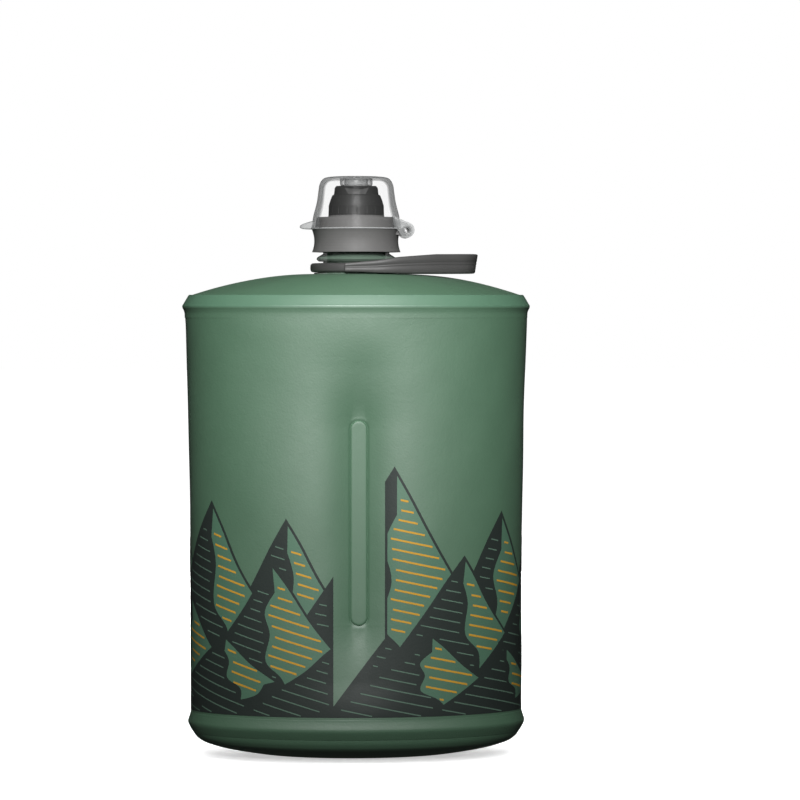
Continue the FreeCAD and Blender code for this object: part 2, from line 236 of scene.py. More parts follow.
def bumps(tree, shader, layers):
    """Bump from (source, depth in metres) layers, one feeding the next."""
    before = None
    for source, depth in layers:
        bump = tree.nodes.new("ShaderNodeBump")
        bump.inputs["Distance"].default_value = depth
        tree.links.new(source, bump.inputs["Height"])
        if before is not None:
            tree.links.new(before, bump.inputs["Normal"])
        before = bump.outputs["Normal"]
    tree.links.new(before, shader.inputs["Normal"])


def scaled(color, by):
    return tuple(channel * by for channel in color)


FILM_IOR = 1.6


def film_like(name, color, roughness=0.5, variation=0.07, grain=1.0, gloss=0.5):
    """Satin thermoplastic film with a fine pebbled grain and a slow drift of tone."""
    material, tree, shader = new_material(name, color, roughness)
    tinted(tree, shader, noise(tree, 9 * MM, 4, 0.7), scaled(color, 1 - variation),
           scaled(color, 1 + variation))
    fine = noise(tree, 0.8 * MM, 3, 0.6)
    broad = noise(tree, 2.6 * MM, 2)
    slow = noise(tree, 26 * MM, 1)
    rough = remap(tree, broad, roughness - 0.06, roughness + 0.08)
    tree.links.new(rough, shader.inputs["Roughness"])
    bumps(tree, shader, [(slow, 0.4 * MM), (broad, 0.05 * MM * grain), (fine, 0.07 * MM * grain)])
    shader.inputs["IOR"].default_value = FILM_IOR
    shader.inputs["Specular IOR Level"].default_value = gloss
    shader.inputs["Coat Weight"].default_value = gloss * 0.8
    shader.inputs["Coat Roughness"].default_value = roughness
    shader.inputs["Coat IOR"].default_value = FILM_IOR
    return material


def moulded(name, color, roughness, grain_mm=0.35, depth_mm=0.012, variation=0.05):
    """Fine-textured injection-moulded plastic or rubber."""
    material, tree, shader = new_material(name, color, roughness)
    tinted(tree, shader, noise(tree, 5 * MM, 3), scaled(color, 1 - variation),
           scaled(color, 1 + variation))
    fine = noise(tree, grain_mm * MM, 2)
    marks = noise(tree, 2.4 * MM, 4)
    tree.links.new(remap(tree, marks, roughness - 0.06, roughness + 0.08),
                   shader.inputs["Roughness"])
    bumps(tree, shader, [(marks, depth_mm * 0.6 * MM), (fine, depth_mm * MM)])
    return material


def clear_plastic(name, tint, veil, roughness, band=0.0, outline=0.3):
    """Clear plastic: a veil face on, a greyer band where its wall turns edge on, and an outline."""
    material, tree, shader = new_material(name, tint, roughness)
    clear = tree.nodes.new("ShaderNodeBsdfTransparent")
    weight = tree.nodes.new("ShaderNodeLayerWeight")
    weight.inputs["Blend"].default_value = 0.5
    share = remap(tree, weight.outputs["Facing"], veil, veil + band, 0.42, 0.52)
    line = remap(tree, weight.outputs["Facing"], 0, outline, 0.8, 1.0)
    # A new Math node adds its two inputs
    both = tree.nodes.new("ShaderNodeMath")
    tree.links.new(share, both.inputs[0])
    tree.links.new(line, both.inputs[1])
    mix = tree.nodes.new("ShaderNodeMixShader")
    tree.links.new(both.outputs["Value"], mix.inputs["Fac"])
    tree.links.new(clear.outputs["BSDF"], mix.inputs[1])
    tree.links.new(shader.outputs["BSDF"], mix.inputs[2])
    tree.links.new(mix.outputs["Shader"], tree.nodes["Material Output"].inputs["Surface"])
    marks = noise(tree, 4 * MM, 3)
    tree.links.new(remap(tree, marks, roughness, roughness + 0.1), shader.inputs["Roughness"])
    bumps(tree, shader, [(marks, 0.01 * MM)])
    return material


GREEN = (0.092, 0.208, 0.120)
FILM = film_like("film_green_satin", GREEN, 0.58, gloss=0.9)
# The welded top band is the same green film with its colour raised: painted highlight on the chamfer,
# a lighter lit copy of FILM
RIM_FILM_PAINTED_HIGHLIGHT = film_like("film_green_weld_painted_highlight", (0.125, 0.275, 0.172), 0.46, 0.04, 0.5, 0.9)
BAR_FILM = film_like("film_green_pressed", GREEN, 0.55, 0.04, 0.5, 0.7)
INK_DARK = film_like("ink_charcoal", (0.030, 0.042, 0.037), 0.55, 0.10, 0.9, 0.3)
INK_GREEN = film_like("ink_pine_green", (0.105, 0.235, 0.150), 0.55, 0.06, 0.9, 0.5)
INK_GOLD = film_like("ink_gold", (0.78, 0.43, 0.05), 0.6, 0.10, 0.8, 0.2)
INK_SAGE = film_like("ink_sage", (0.150, 0.255, 0.190), 0.6, 0.10, 0.8, 0.2)
CAP_GREY = moulded("cap_grey_fine_matt", (0.160, 0.158, 0.155), 0.58)
SPOUT_DARK = moulded("spout_soft_charcoal", (0.026, 0.026, 0.025), 0.54)
STRAP_GREY = moulded("strap_soft_grey", (0.080, 0.079, 0.078), 0.44, 0.5, 0.02)
SEAL = moulded("seal_silicone", (0.55, 0.55, 0.53), 0.5)
SEAL_DARK = moulded("seal_black_rubber", (0.02, 0.02, 0.02), 0.5)
PIN = clear_plastic("pin_clear", (0.55, 0.56, 0.56), 0.3, 0.2, 0.2)
NECK_CLEAR = clear_plastic("neck_green_clear", (0.18, 0.26, 0.20), 0.68, 0.12, 0.1, 0.2)
COVER_CLEAR = clear_plastic("cover_clear", (0.30, 0.31, 0.31), 0.04, 0.06, 0.56, 0.3)
COVER_INSIDE = clear_plastic("cover_clear_inside", (0.30, 0.31, 0.31), 0.01, 0.1, 0.0, 0.5)
COVER_THICK = clear_plastic("cover_clear_thick", (0.42, 0.43, 0.43), 0.42, 0.12, 0.2, 0.3)
COVER_EDGE = clear_plastic("cover_rim_edge", (0.55, 0.56, 0.56), 0.8, 0.15, 0.1, 0.1)


# ---------------------------------------------------------------- the film wall as a surface

def wall_share(z):
    return (z - WALL_LOW) / (WALL_HIGH - WALL_LOW)


def half_width(z):
    return WAIST + WIDENING * wall_share(z) ** 3


def half_depth(z):
    return LOW_DEPTH + BULGE * math.sin(math.pi * wall_share(z)) + DEEPENING * wall_share(z) ** 3


def oval_lengths(count=721):
    """Turn angles round the oval from the front's middle, and the film's length up to each."""
    turns = np.linspace(-math.pi, math.pi, count)
    middle = (turns[1:] + turns[:-1]) / 2
    mid_z = (WALL_LOW + WALL_HIGH) / 2
    pieces = np.hypot(half_width(mid_z) * np.cos(middle), half_depth(mid_z) * np.sin(middle))
    lengths = np.concatenate([[0], np.cumsum(pieces * (turns[1] - turns[0]))])
    return turns, lengths - lengths[-1] / 2


TURNS, LENGTHS = oval_lengths()
HALF_ROUND = float(LENGTHS[-1])
QUARTER = HALF_ROUND / 2


def bar_distance(x, z, stretch=1.0):
    """Distance outside the pressed weld's outline; stretch lengthens its reach past the ends."""
    low = WELD_LOW + WELD_HALF
    high = WELD_HIGH - WELD_HALF
    return math.hypot(x, (z - min(max(z, low), high)) / stretch) - WELD_HALF


def groove(x, z):
    """How far the wall is drawn in towards the weld, steepest beside it, and its thin crease."""
    away = max(0.0, bar_distance(x, z, GROOVE_STRETCH_UP if z > WELD_LOW else GROOVE_STRETCH_DOWN))
    ends = smooth((WALL_HIGH - z) / GROOVE_FADE_TOP) * smooth((z - WALL_LOW) / GROOVE_FADE_FOOT)
    share = math.exp(-((away / GROOVE_WIDTH) ** 1.15)) * ends
    drawn = (half_depth(z) - GROOVE_FLOOR) * share
    crease = CREASE_DEPTH * (1 - smooth(bar_distance(x, z) / CREASE_WIDTH))
    return drawn + crease


def ripple(turn, z):
    """The film's own slight unevenness."""
    a = math.sin(3 * turn + 40 * z) * math.sin(55 * z + 1.3)
    b = math.sin(7 * turn - 1.1) * math.sin(95 * z + 2 * turn)
    c = math.sin(13 * turn + 0.7) * math.sin(170 * z - 3 * turn)
    return 0.16 * MM * a + 0.09 * MM * b + 0.05 * MM * c


def film_point(s, z):
    """The film at this length round from the front's middle, and this height."""
    turn = float(np.interp(s, LENGTHS, TURNS))
    fade = smooth((z - WALL_LOW) / (6 * MM)) * smooth((WALL_HIGH - z) / (6 * MM))
    swell = ripple(turn, z) * fade
    x = (half_width(z) + swell) * math.sin(turn)
    depth = (half_depth(z) + swell) * math.cos(turn)
    side = 1 if depth > 0 else -1
    depth -= side * groove(x, z) * min(1.0, abs(depth) / (8 * MM))
    return Vector((x, -depth, z))


def film_normal(s, z):
    step = 0.3 * MM
    across = film_point(s + step, z) - film_point(s - step, z)
    up = film_point(s, min(z + step, WALL_HIGH)) - film_point(s, max(z - step, WALL_LOW))
    return across.cross(up).normalized()


def stations(low, high, coarse, fine, zones):
    """Places from low to high, close together inside the zones and further apart outside."""
    out = [low]
    while out[-1] < high:
        here = out[-1]
        near = any(a - coarse <= here <= b for a, b in zones)
        out.append(min(here + (fine if near else coarse), high))
    if out[-1] - out[-2] < fine / 4:
        out.pop(-2)
    return out


def bag_wall():
    edge = WELD_HALF + 1.4 * MM
    side = stations(0, QUARTER, 2 * MM, 0.35 * MM, [(WELD_HALF - 0.6 * MM, edge)])
    quarter = side + [HALF_ROUND - s for s in reversed(side[:-1])]
    around = [-s for s in reversed(quarter[1:])] + quarter[:-1]
    tips = [(WELD_LOW - 1.4 * MM, WELD_LOW + 3 * MM), (WELD_HIGH - 3 * MM, WELD_HIGH + 1.4 * MM)]
    heights = stations(WALL_LOW, WALL_HIGH, 2.4 * MM, 0.4 * MM, tips)
    points = [film_point(s, z) for z in heights for s in around]
    faces = grid_faces(len(heights), len(around), closed_columns=True)
    return mesh_piece("bag_wall", points, faces, [FILM])


def weld_bar(side):
    """The pressed bar: a long rounded plate, dished a little between its soft edges."""
    name = "front_weld_bar" if side < 0 else "back_weld_bar"
    radius = WELD_HALF
    low = WELD_LOW + radius
    high = WELD_HIGH - radius
    # Each ring is (inset from the outline, rise over the weld's face), in millimetres
    rings = [(-0.2, -0.9), (0.0, -0.5), (0.12, -0.25), (0.3, -0.1), (0.6, -0.02), (1.0, 0.0),
             (1.9, -0.02), (2.9, -0.03)]
    turns = 24
    points = []
    for inset, rise in rings:
        r = radius - inset * MM
        y = side * (WELD_FACE + rise * MM)
        for i in range(turns + 1):
            a = math.pi * i / turns
            points.append((r * math.cos(a), y, high + r * math.sin(a)))
        for i in range(turns + 1):
            a = math.pi + math.pi * i / turns
            points.append((r * math.cos(a), y, low + r * math.sin(a)))
    columns = 2 * turns + 2
    faces = grid_faces(len(rings), columns, closed_columns=True)
    last = (len(rings) - 1) * columns
    for i in range(columns // 2 - 1):
        faces.append((last + i, last + i + 1, last + columns - 2 - i, last + columns - 1 - i))
    if side > 0:
        faces = [face[::-1] for face in faces]
    return mesh_piece(name, points, faces, [BAR_FILM])


# ---------------------------------------------------------------- rims and gussets

OVAL_COLUMNS = 180


def oval_ring(width, depth, outset, z):
    """A level oval with these half sizes, moved out along its own normals."""
    points = []
    for i in range(OVAL_COLUMNS):
        turn = 2 * math.pi * i / OVAL_COLUMNS
        x = width * math.sin(turn)
        y = -depth * math.cos(turn)
        normal = Vector((x / width ** 2, y / depth ** 2, 0)).normalized()
        points.append(Vector((x, y, z)) + normal * outset)
    return points


def oval_skin(name, rings, material):
    points = [p for ring in rings for p in ring]
    faces = grid_faces(len(rings), OVAL_COLUMNS, closed_columns=True)
    return mesh_piece(name, points, faces, [material])


def rim_band(name, profile, rim_half, wall_half, material):
    """A welded band from points of (share, outset, height), the last two in millimetres.

    Share 1 lies on the wall's oval and 0 on the rim's.
    """
    rings = []
    for share, outset, z in through(profile, 4):
        width, depth = (rim + (wall - rim) * share for rim, wall in zip(rim_half, wall_half))
        rings.append(oval_ring(width, depth, outset * MM, z * MM))
    return oval_skin(name, rings, material)


def top_rim():
    """The welded seam: flared out of the wall, chamfered above, and turned in at a crisp edge."""
    flare = [(1, 0.03, 163.2), (1, 0.03, 164.2), (0.85, 0, 165.2), (0.45, 0, 166.2),
             (0.05, 0, 166.9), (0, 0, 167.2)]
    chamfer = [(0, 0, 167.2), (0, 0.0, 167.7), (0, -0.3, 168.2), (0, -1.35, 170), (0, -2.15, 171.3),
               (0, -2.35, 171.6), (0, -2.65, 171.75), (0, -3.1, 171.7), (0, -3.3, 171.2),
               (0, -3.3, 169)]
    rim = (RIM_WIDTH, RIM_DEPTH)
    wall = (half_width(WALL_HIGH), half_depth(WALL_HIGH))
    # The chamfered band takes the lighter film, whose raised colour paints in the chamfer's highlight
    return [rim_band("top_rim_flare", flare, rim, wall, FILM),
            rim_band("top_rim_band", chamfer, rim, wall, RIM_FILM_PAINTED_HIGHLIGHT)]


def bottom_rim():
    """The lower seam: it swells smoothly out of the wall and rounds in under it."""
    profile = [(1, -0.6, 16.8), (1, 0.0, 16.2), (0.7, 0.05, 15.3), (0.3, 0.15, 14.2), (0, 0.35, 12.9),
               (0, 0.38, 12.3), (0, 0.2, 11.5), (0, -0.4, 10.3), (0, -1.2, 8.9), (0, -1.5, 8.5),
               (0, -1.9, 8.6)]
    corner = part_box("bottom_rim_weld")[1]
    return rim_band("bottom_rim_band", profile, (corner.x, corner.y),
                    (half_width(WALL_LOW), half_depth(WALL_LOW)), FILM)


def shoulder():
    """The top gusset: a shallow dome from the rim's oval to the neck's round seat."""
    tuck = 2.4 * MM
    rise = SHOULDER_TOP - SHOULDER_EDGE
    rings = []
    steps = 34
    for i in range(steps + 1):
        share = 1 - i / steps
        width = SEAT_RADIUS + share * (RIM_WIDTH - tuck - SEAT_RADIUS)
        depth = SEAT_RADIUS + share * (RIM_DEPTH - tuck - SEAT_RADIUS)
        z = SHOULDER_TOP - rise * share ** 1.9
        ring = []
        for j in range(OVAL_COLUMNS):
            turn = 2 * math.pi * j / OVAL_COLUMNS
            pucker = math.sin(9 * turn + 1.0) * 0.5 + math.sin(14 * turn) * 0.35
            lift = 0.16 * MM * pucker * math.sin(math.pi * share) ** 2
            ring.append(Vector((width * math.sin(turn), -depth * math.cos(turn), z + lift)))
        rings.append(ring)
    for radius in (15.0, 13.2, 12.45):
        rings.append(oval_ring(radius * MM, radius * MM, 0, SHOULDER_TOP))
    return oval_skin("top_gusset_film", rings, FILM)


def base():
    """The bottom gusset: a rounded corner, a shallow bowl and a flat foot."""
    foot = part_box("bottom_gusset")[0].z
    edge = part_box("bottom_rim_weld")[1]
    # Each point is (share of the way from the rim to the foot, height in millimetres)
    bowl = [(-0.01, 9.8), (0, 8.7), (0.03, 7.2), (0.075, 6.0), (0.15, 4.75), (0.32, 3.2),
            (0.55, 1.8), (0.85, 0.45), (1, 0)]
    rings = []
    tuck = 1.5 * MM
    for share, z in through(bowl, 4):
        width = (edge.x - tuck) * (1 - share) + FOOT_WIDTH * share
        depth = (edge.y - tuck) * (1 - share) + FOOT_DEPTH * share
        rings.append(oval_ring(width, depth, 0, foot + max(z, 0) * MM))
    for share in (0.75, 0.5, 0.25, 0.02):
        rings.append(oval_ring(FOOT_WIDTH * share, FOOT_DEPTH * share, 0, foot))
    return oval_skin("bottom_gusset_film", rings, FILM)


def baffle():
    """The web that ties the two welds, as its two sides."""
    low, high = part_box("centre_baffle")
    rows = 12
    columns = 10
    points = []
    for x in (low.x, high.x):
        for z in np.linspace(low.z, high.z, rows):
            points += [(x, y, z) for y in np.linspace(low.y, high.y, columns)]
    side = grid_faces(rows, columns)
    faces = side + [tuple(k + rows * columns for k in face) for face in side]
    return mesh_piece("centre_baffle_film", points, faces, [FILM])


# ---------------------------------------------------------------- the printed mountains

PRINT_LOW = 17 * MM
BARE_HALF = 9.5 * MM
BARE_LINE = 0.9 * MM
BARE_RISE = 16.5 * MM
BARE_SLOPE = 1.3
HATCH_LINES = 45
HATCH_PITCH = 3.7 * MM
HATCH_SLOPE_LEFT = 0.30
HATCH_SLOPE_RIGHT = 0.21
HATCH_STAGGER = 0.3
SHORTEST_STROKE = 1.4 * MM
INK_LIFT = 0.07 * MM
STROKE_LIFT = 0.13 * MM
DARK, LIT, GOLD, SAGE = range(4)

# A plain mountain range, drawn once and repeated on the back. Each peak is (place along the
# film, height, half width at its foot), in millimetres, from the furthest to the nearest.
PEAKS = [(-79, 82, 44), (-27, 90, 46), (57, 92, 48), (79, 82, 44), (-58, 96, 50), (13, 109, 56),
         (-33, 74, 44), (40, 76, 46), (72, 64, 44), (-72, 60, 40)]
HILLS = [(-52, 46, 46), (-8, 44, 44), (27, 47, 46), (60, 41, 40)]

# One peak's flank, as (across, down) shares of its half width and height. A face is a share of
# that flank, and then runs that each go on smoothly from where the last one ended.
FLANK = [(0, 0), (0.13, 0.13), (0.31, 0.33), (0.60, 0.60), (1.0, 1.0)]
FLANK_LINE = 1.1 * MM
BROAD_FACE = (0.62, [
    [(0.47, 0.615), (0.40, 0.64)],
    [(0.40, 0.64), (0.37, 0.75), (0.27, 0.80), (0.25, 0.93)],
    [(0.25, 0.93), (0.10, 0.95)],
    [(0.10, 0.95), (0.14, 0.83), (0.06, 0.70), (-0.07, 0.60), (-0.02, 0.44), (-0.07, 0.30),
     (0.03, 0.17)]])
SLIM_FACE = (0.50, [
    [(0.36, 0.52), (0.30, 0.64), (0.17, 0.70)],
    [(0.17, 0.70), (0.15, 0.57), (0.03, 0.46), (0.06, 0.28), (0.0, 0.15)]])
SPUR_FACE = (0, [
    [(-0.34, 0.46), (-0.24, 0.58), (-0.09, 0.65)],
    [(-0.09, 0.65), (-0.17, 0.80), (-0.10, 0.97)],
    [(-0.10, 0.97), (-0.36, 0.97)],
    [(-0.36, 0.97), (-0.30, 0.83), (-0.42, 0.71), (-0.31, 0.59), (-0.34, 0.46)]])


class Peak:
    """One mountain: its outline, its sunlit faces and the slope of its hatching."""

    def __init__(self, number, place, height, half, offset):
        self.slope = HATCH_SLOPE_LEFT if place < 0 else HATCH_SLOPE_RIGHT
        self.half = half * MM
        self.drop = height * MM - PRINT_LOW + 4 * MM
        self.top = np.array([place * MM + offset, height * MM])
        self.number = number
        right = np.array(through(FLANK, 8))
        left = right[::-1] * (-1, 1)
        self.outline = self.placed(np.vstack([left, right[1:]]))
        shapes = [SLIM_FACE if number % 3 == 1 else BROAD_FACE]
        if number % 4 == 0 and number < len(PEAKS):
            shapes.append(SPUR_FACE)
        self.faces = [self.face(*shape) for shape in shapes]

    def placed(self, shares):
        """Shares of half width and height, bent a little by this peak's own lean and wobble."""
        down = shares[:, 1]
        lean = 0.12 * math.sin(2.4 * self.number + 0.5) * down * (1 - down)
        wobble = 0.022 * np.sin(11 * down + 2.1 * self.number) * down
        across = (shares[:, 0] + lean + wobble) * self.half
        return self.top + np.column_stack([across, -down * self.drop])

    def face(self, reach, runs):
        flank = np.array([p for p in through(FLANK, 8) if 0.035 < p[1] < reach])
        points = list(self.placed(flank) - (FLANK_LINE, 0)) if reach else []
        for run in runs:
            points += list(self.placed(np.array(through(run, 6))[:-1]))
        return np.array(points)


def inside(outline, points):
    """Which of the points lie inside a closed outline."""
    result = np.zeros(len(points), bool)
    for a, b in zip(outline, np.roll(outline, -1, axis=0)):
        if a[1] == b[1]:
            continue
        crosses = (a[1] > points[:, 1]) != (b[1] > points[:, 1])
        at = a[0] + (points[:, 1] - a[1]) * (b[0] - a[0]) / (b[1] - a[1])
        result ^= crosses & (points[:, 0] < at)
    return result


def mountain_range():
    """Peaks and then hills, from the furthest to the nearest, repeated past both ends."""
    peaks = []
    for number, (place, height, half) in enumerate(PEAKS + HILLS):
        for turn in (-1, 0, 1):
            offset = turn * HALF_ROUND
            if abs(place * MM + offset) < QUARTER + half * MM:
                peaks.append(Peak(number, place, height, half, offset))
    return peaks


def bare_floor(s):
    """The slanting foot of the bare strip round the weld."""
    return PRINT_LOW + BARE_RISE + BARE_SLOPE * s


def inked(peaks, points):
    """For each flat point: which peak shows there (or -1 for bare film), and whether it is lit."""
    owner = np.full(len(points), -1)
    lit = np.zeros(len(points), bool)
    for index, peak in enumerate(peaks):
        here = inside(peak.outline, points)
        owner[here] = index
        lit[here] = False
        for face in peak.faces:
            lit |= here & inside(face, points)
    across, height = points.T
    bare = (abs(across) < BARE_HALF) & (height > bare_floor(across))
    lit &= abs(across) > BARE_HALF + BARE_LINE
    outside = (abs(across) > QUARTER) | (height < PRINT_LOW)
    owner[bare | outside] = -1
    return owner, lit


def ring_edges(outline, spacing=1.4 * MM):
    """An outline with its long sides divided, so that the ink follows the curved film."""
    points = []
    for a, b in zip(outline, np.roll(outline, -1, axis=0)):
        pieces = max(1, int(np.linalg.norm(b - a) / spacing))
        points += [a + (b - a) * k / pieces for k in range(pieces)]
    return points


def ink_areas(peaks):
    """The whole print as one flat sheet of triangles, each dark or lit."""
    high = max(peak.outline[:, 1].max() for peak in peaks) + MM
    outlines = [peak.outline for peak in peaks]
    outlines += [face for peak in peaks for face in peak.faces]
    outlines.append(np.array([(-QUARTER, PRINT_LOW), (QUARTER, PRINT_LOW), (QUARTER, high),
                              (-QUARTER, high)]))
    for side, foot in ((BARE_HALF, bare_floor), (BARE_HALF + BARE_LINE, lambda s: PRINT_LOW)):
        outlines.append(np.array([(-side, foot(-side)), (side, foot(side)), (side, high),
                                  (-side, high)]))
    places = []
    edges = []
    for outline in outlines:
        ring = ring_edges(outline)
        start = len(places)
        places += ring
        edges += [(start + k, start + (k + 1) % len(ring)) for k in range(len(ring))]
    spacing = 2 * MM
    for s in np.arange(-QUARTER + spacing / 2, QUARTER, spacing):
        places += [np.array((s, z)) for z in np.arange(PRINT_LOW + MM, high, spacing)]
    found = delaunay_2d_cdt([Vector(p) for p in places], edges, [], 0, 1e-6)
    flat = np.array([(p.x, p.y) for p in found[0]])
    faces = np.array(found[2])
    owner, lit = inked(peaks, flat[faces].mean(axis=1))
    shown = owner >= 0
    return flat, faces[shown], np.where(lit[shown], LIT, DARK)


def strokes(peaks):
    """Slanting hatch lines over every face, each stopping short of the face's edges."""
    found = []
    step = 0.35 * MM
    along = np.arange(-QUARTER, QUARTER, step)
    for slope in sorted({peak.slope for peak in peaks}):
        for number in range(HATCH_LINES):
            level = number * HATCH_PITCH
            line = np.column_stack([along, level - slope * along])
            owner, lit = inked(peaks, line)
            kind = np.where(owner >= 0, owner * 2 + lit, -1)
            ends = np.flatnonzero(np.diff(kind)) + 1
            for start, end in zip(np.r_[0, ends], np.r_[ends, len(along)]):
                if kind[start] < 0 or peaks[owner[start]].slope != slope:
                    continue
                margin = (1.5 if lit[start] else 1.9) * MM
                first_gap = margin * (1 + HATCH_STAGGER * math.sin(number * 2.3 + start))
                last_gap = margin * (1 + HATCH_STAGGER * math.sin(number * 1.7 + end))
                first = along[start] + first_gap
                last = along[end - 1] - last_gap
                if last - first > SHORTEST_STROKE:
                    found.append((first, last, level, slope, GOLD if lit[start] else SAGE))
    return found


def mountains(name, shift):
    """The print on one side of the bottle, laid on the film."""
    peaks = mountain_range()
    flat, faces, slots = ink_areas(peaks)
    used = sorted(set(faces.flatten()))
    number = {old: new for new, old in enumerate(used)}
    places = [(flat[k], INK_LIFT) for k in used]
    faces = [tuple(number[k] for k in face) for face in faces]
    slots = list(slots)
    for first, last, level, slope, slot in strokes(peaks):
        half = (0.36 if slot == GOLD else 0.21) * MM
        pieces = max(1, math.ceil((last - first) / (1.5 * MM)))
        start = len(places)
        for side in (-half, half):
            for k in range(pieces + 1):
                s = first + (last - first) * k / pieces
                places.append(((s, level - slope * s + side), STROKE_LIFT))
        upper = start + pieces + 1
        for k in range(pieces):
            faces.append((start + k, start + k + 1, upper + k + 1, upper + k))
            slots.append(slot)
    points = []
    normals = []
    for (s, z), lift in places:
        around = s + shift
        around -= 2 * HALF_ROUND if around > HALF_ROUND else 0
        normal = film_normal(around, z)
        points.append(film_point(around, z) + normal * lift)
        normals.append(normal)
    inks = [INK_DARK, INK_GREEN, INK_GOLD, INK_SAGE]
    return mesh_piece(name, points, faces, inks, slots, normals)


# ---------------------------------------------------------------- dust cover

COVER_HEIGHT_MM = 19.7


def cover_shell():
    """The clear shell: flared wall, chamfered shoulder, flat top, rim line and central plug.

    Its outlines are (radius, height) in millimetres.
    """
    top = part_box("dust_cover")[1].z / MM
    rim = top - COVER_HEIGHT_MM
    wall = through([(16.9, rim), (16.45, rim + 2.6), (15.95, rim + 5.4), (14.85, rim + 9.6),
                    (14.3, rim + 13), (13.9, rim + 16.2)], 6)
    crown = through([(13.9, rim + 16.2), (13.3, rim + 17.7), (12.3, rim + 18.9),
                     (11.0, rim + 19.4), (8.5, rim + 19.65), (4, top), (0, top)], 5)
    outer = [tuple(p) for p in wall[:-1] + crown]
    inner = [(max(r - 1.3, 0), z) for r, z in outer if z < rim + 15.6]
    inner += [(12.35, rim + 16.3), (11.7, rim + 17.6), (10.9, rim + 18.1), (8, rim + 18.4),
              (0, rim + 18.4)]
    profile = [(16.75, rim - 0.05), *outer, *inner[::-1], (15.9, rim - 0.05)]
    shell = lathe("dust_cover_shell", [(r * MM, z * MM) for r, z in profile], [COVER_CLEAR], 200)
    shell.data.materials.append(COVER_INSIDE)
    for face in shell.data.polygons:
        outward = face.normal.x * face.center.x + face.normal.y * face.center.y
        face.material_index = 1 if outward < 0 or face.normal.z < -0.5 else 0
    plug = [(6.1, top - 0.7), (6.05, top - 3.0), (5.8, top - 3.3), (4.7, top - 3.3),
            (4.4, top - 3.0), (4.4, top - 0.7)]
    lip = [(16.95, rim), (17.05, rim + 0.2), (16.95, rim + 0.45), (16.6, rim + 0.5), (16.5, rim)]
    return [shell,
            lathe("dust_cover_plug", [(r * MM, z * MM) for r, z in plug], [COVER_THICK], 120),
            lathe("dust_cover_rim", [(r * MM, z * MM) for r, z in lip], [COVER_EDGE], 200)]


def plate(name, outline, hole, low_y, high_y, material):
    """A flat plate in the X-Z plane with rounded corners and a round hole (x, z, radius)."""
    edge = rounded([Vector(p) for p in outline], 0.9 * MM)
    x, z, radius = hole
    sides = 40
    turns = [2 * math.pi * i / sides for i in range(sides)]
    places = [Vector(p) for p in edge]
    places += [Vector((x + radius * math.cos(t), z + radius * math.sin(t))) for t in turns]
    start = len(edge)
    loops = [list(range(start)), list(range(start, start + sides))]
    edges = [pair for loop in loops for pair in zip(loop, loop[1:] + loop[:1])]
    found = delaunay_2d_cdt(places, edges, [], 0, 1e-7)
    flat = np.array([(p.x, p.y) for p in found[0]])
    faces = []
    for face in found[2]:
        middle = flat[list(face)].mean(axis=0)
        in_hole = math.hypot(middle[0] - x, middle[1] - z) < radius
        if inside(np.array(edge), middle[None])[0] and not in_hole:
            faces.append(tuple(face))
    count = len(flat)
    points = [(x, y, z) for y in (low_y, high_y) for x, z in flat]
    solid = faces + [tuple(k + count for k in reversed(face)) for face in faces]
    for loop in loops:
        solid += [(a, b, b + count, a + count) for a, b in zip(loop, loop[1:] + loop[:1])]
    piece = mesh_piece(name, points, solid, [material])
    bevel = piece.modifiers.new("soft_edges", "BEVEL")
    bevel.width = 0.4 * MM
    bevel.segments = 3
    bevel.angle_limit = math.radians(50)
    return piece


def cover_arms():
    """A teardrop plate each side, from the cover's wall down round the hinge pin."""
    low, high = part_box("cover_hinge_pin")
    x, z = (low.x + high.x) / 2, (low.z + high.z) / 2
    radius = 2.9 * MM
    thick = 1.35 * MM
    around = [(x + radius * math.cos(t), z + radius * math.sin(t))
              for t in np.linspace(math.radians(62), math.radians(-165), 14)]
    outline = [(x - 5.4 * MM, z + 5.3 * MM), (x - 4.7 * MM, z + 5.2 * MM)] + around
    outline += [(x - 4.6 * MM, z + 1.3 * MM)]
    arms = []
    for name, near, far in (("front", low.y, low.y + thick), ("rear", high.y - thick, high.y)):
        arms.append(plate("dust_cover_arm_" + name, outline, (x, z, 1.15 * MM), near, far,
                          COVER_THICK))
    return arms


def cover_tab():
    """The little thumb tab opposite the hinge, a wedge with a blunt tip."""
    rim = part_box("dust_cover")[1].z - COVER_HEIGHT_MM * MM
    # In millimetres; each section is (distance from the axis, bottom and top above the rim)
    root = 15.9
    length = 5.4
    half = 4.2
    sections = [(root, 0.0, 3.3), (17.2, 0.0, 2.9), (18.8, 0.05, 2.4), (20.2, 0.2, 1.9),
                (20.9, 0.5, 1.5), (21.1, 0.8, 1.2)]
    columns = 26
    points = []
    for out, bottom, top in through(sections, 3):
        reach = half * math.sqrt(max(0.02, 1 - ((out - root) / length) ** 2))
        for j in range(columns):
            turn = 2 * math.pi * j / columns
            y = reach * math.copysign(abs(math.cos(turn)) ** 0.35, math.cos(turn))
            share = 0.5 + 0.5 * math.copysign(abs(math.sin(turn)) ** 0.35, math.sin(turn))
            points.append((-out * MM, y * MM, rim + (bottom + (top - bottom) * share) * MM))
    rows = len(points) // columns
    faces = grid_faces(rows, columns, closed_columns=True)
    faces.append(tuple(range(columns)))
    last = (rows - 1) * columns
    faces.append(tuple(last + k for k in reversed(range(columns))))
    return mesh_piece("dust_cover_tab", points, faces, [COVER_THICK])


# ---------------------------------------------------------------- strap

def strap_ring():
    low, high = RING_LOW, RING_LOW + 3.4 * MM
    corners = [(12.65 * MM, low), (17.2 * MM, low), (17.2 * MM, high), (12.65 * MM, high)]
    return lathe("strap_ring_soft", rounded(corners, 1.3 * MM), [STRAP_GREY], 120)


